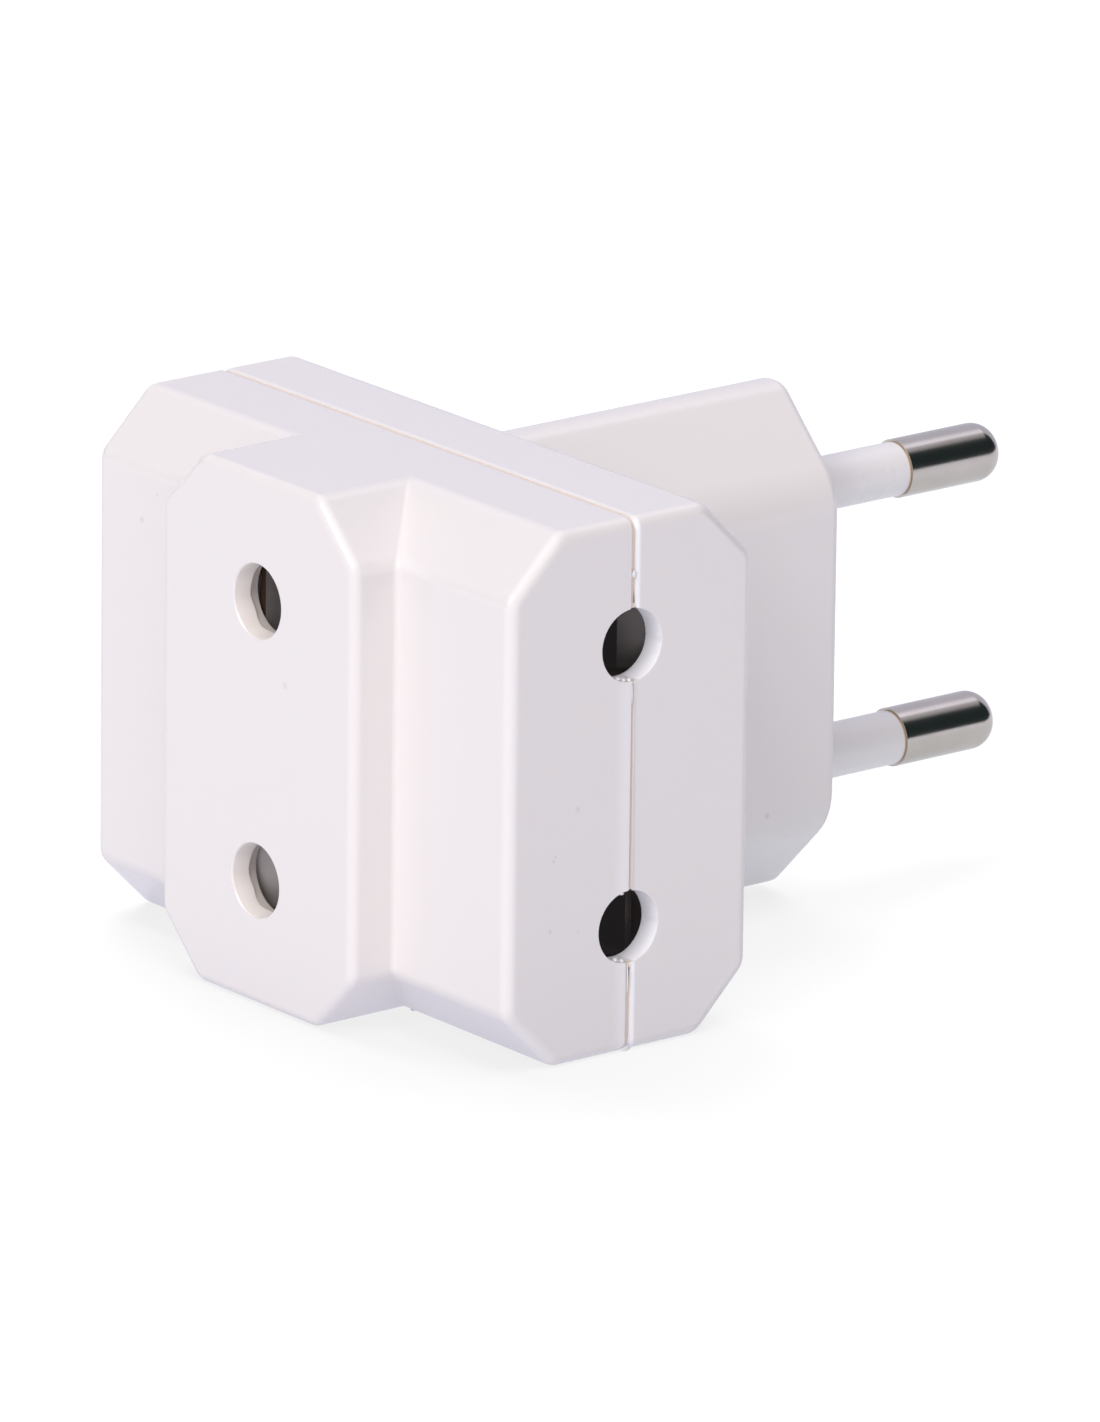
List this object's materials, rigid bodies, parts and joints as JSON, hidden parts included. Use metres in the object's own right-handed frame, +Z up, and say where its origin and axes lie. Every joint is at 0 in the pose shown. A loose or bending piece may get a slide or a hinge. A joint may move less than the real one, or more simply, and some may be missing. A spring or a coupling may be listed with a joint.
{
  "type": "multi socket adapter",
  "caption": "T-shaped mains adapter for flat two-pin plugs, with sockets at both ends and in front, and a plug with part-sleeved round pins behind.",
  "frame": {"origin": "on the flat underside, in the seam plane between the two shells, midway between the two end faces", "axes": "+X along the cross bar to the right-hand sockets, +Y out through the plug to its pins, +Z up"},
  "size_m": [0.0442, 0.0618, 0.036],
  "materials": {
    "shell_plastic": "glossy white moulded plastic",
    "sleeve_plastic": "smooth white plastic",
    "pin_metal": "turned brass, bright nickel plated",
    "contact_metal": "stamped spring brass, dull"
  },
  "bodies": {
    "root": {"front_shell": "shell_plastic", "rear_shell": "shell_plastic", "contact_strip_upper": "contact_metal", "contact_strip_lower": "contact_metal", "contact_clip_upper": "contact_metal", "contact_clip_lower": "contact_metal", "plug_pin_upper": "pin_metal", "plug_pin_lower": "pin_metal", "pin_sleeve_upper": "sleeve_plastic", "pin_sleeve_lower": "sleeve_plastic"}
  },
  "joints": []
}
